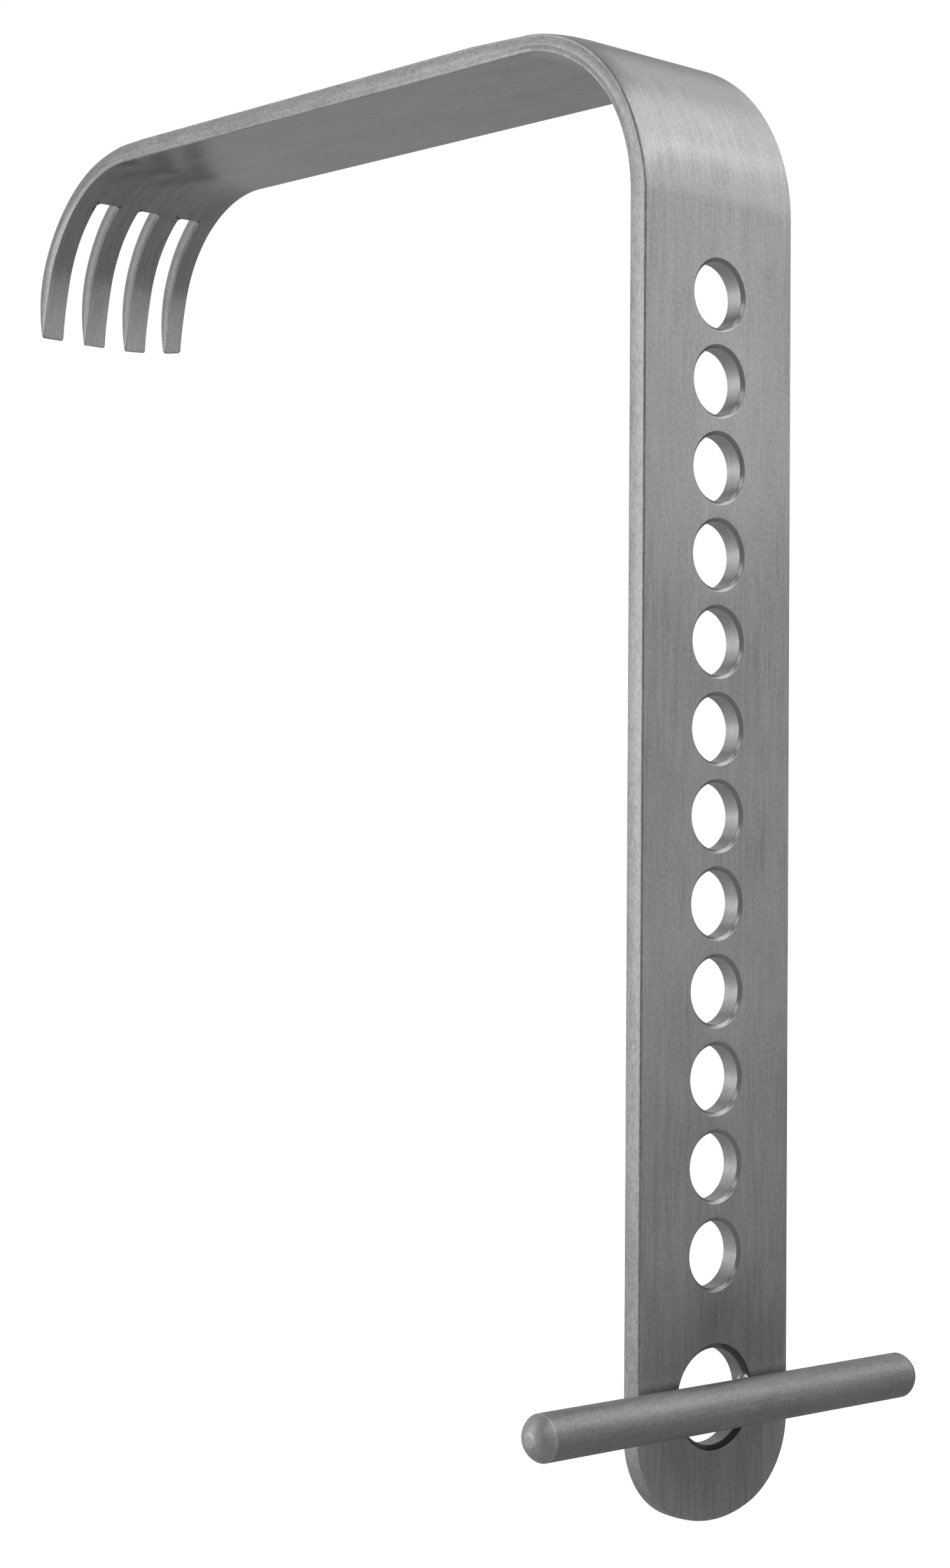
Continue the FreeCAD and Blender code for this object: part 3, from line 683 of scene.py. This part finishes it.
finishes = {
    "brushed face": brushedFace, "tumbled edge": tumbledEdge,
    "drilled wall": drilledWall, "countersunk": countersunk,
}
bladeMaterials = [steel(name, look) for name, look in finishes.items()]
bladePiece = brushAcross(weightedNormals(newPiece("blade_visual", makeBlade(), bladeMaterials)))
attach(bladePiece, "root")
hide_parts("blade")
print("blade bent:", len(bladePiece.data.polygons), "faces")


# The crossbar is turned: half its outline is swept round its own line.
crossbar = {
    "diameter": 8.48, "length": 98.0, "shift": -0.55, "height": -114.5,
    "dome": 2.7, "nose": 2.2, "ridge": 0.10, "lead": 1.0,
    "corners": 96, "domeSteps": 12, "stretches": 30,
}
rodFinish, domeFinish = range(2)


# skins rows of points, each a ring or a single point, and gives back the new faces
def skinRings(shape, rings, count):
    faces = []
    for first, second in zip(rings, rings[1:]):
        for i in range(count):
            j = (i + 1) % count
            corners = [first[i % len(first)], first[j % len(first)]]
            corners += [second[j % len(second)], second[i % len(second)]]
            faces.append(shape.faces.new(list(dict.fromkeys(corners))))
    bmesh.ops.recalc_face_normals(shape, faces=shape.faces)
    return faces


def makeCrossbar():
    radius, half = crossbar["diameter"] / 2, crossbar["length"] / 2
    dome, nose, ridge = crossbar["dome"], crossbar["nose"] / 2, crossbar["ridge"]
    # the dome is part of a ball whose centre lies on the rod's line
    centre = half - dome / 2 - (radius**2 - nose**2) / (2 * dome)
    ball = math.hypot(half - centre, nose)
    tip, rim = math.asin(nose / ball), math.asin(radius / ball)
    # each point of the outline: place along the rod, distance from its line, and wear, which also sets the
    # painted highlight on the dome's ridge and nose
    profile = [(half, 0.0, 0.0), (half, nose * 0.6, 0.0)]
    profile += [(half - 0.01, nose - 0.08, 0.3), (half - 0.06, nose + 0.03, 0.6)]
    for i in range(1, crossbar["domeSteps"]):
        turn = tip + (rim - tip) * i / crossbar["domeSteps"]
        profile.append((centre + ball * math.cos(turn), ball * math.sin(turn), 0.0))
    profile += [(half - dome + ridge, radius - 0.7 * ridge, 0.6), (half - dome, radius - 0.2 * ridge, 1.0)]
    profile += [(half - dome - ridge, radius, 0.5), (half - dome - 3 * ridge, radius, 0.0)]
    inner = half - dome - crossbar["lead"]
    stretches = crossbar["stretches"]
    middle = [(inner - 2 * inner * i / stretches, radius, 0.0) for i in range(stretches + 1)]
    profile = profile + middle + [(-x, r, wearAndSheen) for x, r, wearAndSheen in reversed(profile)]
    shape, blankLayer, edgeLayer = newShape()
    # the rod lies against the strap's face at Y = 0
    shift = Vector((crossbar["shift"], -radius, crossbar["height"]))
    rings = []
    for along, reach, wearAndSheen in profile:
        ring = []
        for corner in range(crossbar["corners"] if reach else 1):
            turn = 2 * math.pi * corner / crossbar["corners"]
            y, z = reach * math.cos(turn), reach * math.sin(turn)
            vert = shape.verts.new((Vector((along, y, z)) + shift) * mm)
            vert[blankLayer] = Vector((y, z, along)) * mm
            vert[edgeLayer] = wearAndSheen
            ring.append(vert)
        rings.append(ring)
    for face in skinRings(shape, rings, crossbar["corners"]):
        along = face.calc_center_median().x / mm - crossbar["shift"]
        face.material_index = domeFinish if abs(along) > half - dome else rodFinish
    return shape


barFinishes = [steel("satin rod", satinRod), steel("domed end", domedEnd)]
barPiece = brushAcross(weightedNormals(newPiece("crossbar_visual", makeCrossbar(), barFinishes)))
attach(barPiece, "root")
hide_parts("crossbar")
print("crossbar turned")


# Each weld is a rippled bead up the wall of the end hole, behind the crossbar: left, then right.
weld = {
    "lengths": (6.0, 8.0), "width": 3.2, "inset": 0.6, "setback": 0.6, "taper": 0.7,
    "ripple": 0.9, "rippleDepth": 0.10, "rippleBow": 0.25,
    "lumps": 0.16, "lumpScale": 0.9, "lumpShift": 5, "rows": 60, "corners": 40,
}


def makeWeld(side):
    shape, blankLayer, edgeLayer = newShape()
    middle = Vector((side * (holes["endDiameter"] / 2 - weld["inset"]), weld["setback"], crossbar["height"]))
    length = weld["lengths"][side > 0]
    rings = []
    for row in range(weld["rows"] + 1):
        lean = math.pi * row / weld["rows"]
        height = -math.cos(lean) * length / 2
        ring = []
        for corner in range(weld["corners"] if 0 < row < weld["rows"] else 1):
            turn = 2 * math.pi * corner / weld["corners"]
            curl = math.cos(2 * math.pi * (height - weld["rippleBow"] * math.cos(turn)) / weld["ripple"])
            reach = math.sin(lean) ** weld["taper"] * (weld["width"] / 2 + weld["rippleDepth"] * curl)
            place = Vector((reach * math.cos(turn), reach * math.sin(turn), height))
            # the shift gives each bead lumps of its own
            lump = noise.noise(place * weld["lumpScale"] + Vector((side * weld["lumpShift"], 0, 0)))
            reach *= 1 + weld["lumps"] * lump
            lumpy = Vector((reach * math.cos(turn), reach * math.sin(turn), height))
            vert = shape.verts.new((middle + lumpy) * mm)
            vert[blankLayer] = place * mm
            vert[edgeLayer] = 0.0
            ring.append(vert)
        rings.append(ring)
    skinRings(shape, rings, weld["corners"])
    return shape


weldMaterial = steel("weld metal", weldMetal)
for side, node in ((-1, "weld_left"), (1, "weld_right")):
    bead = newPiece(node + "_visual", makeWeld(side), [weldMaterial])
    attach(bead, "root")
    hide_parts(node)
print("welds laid")
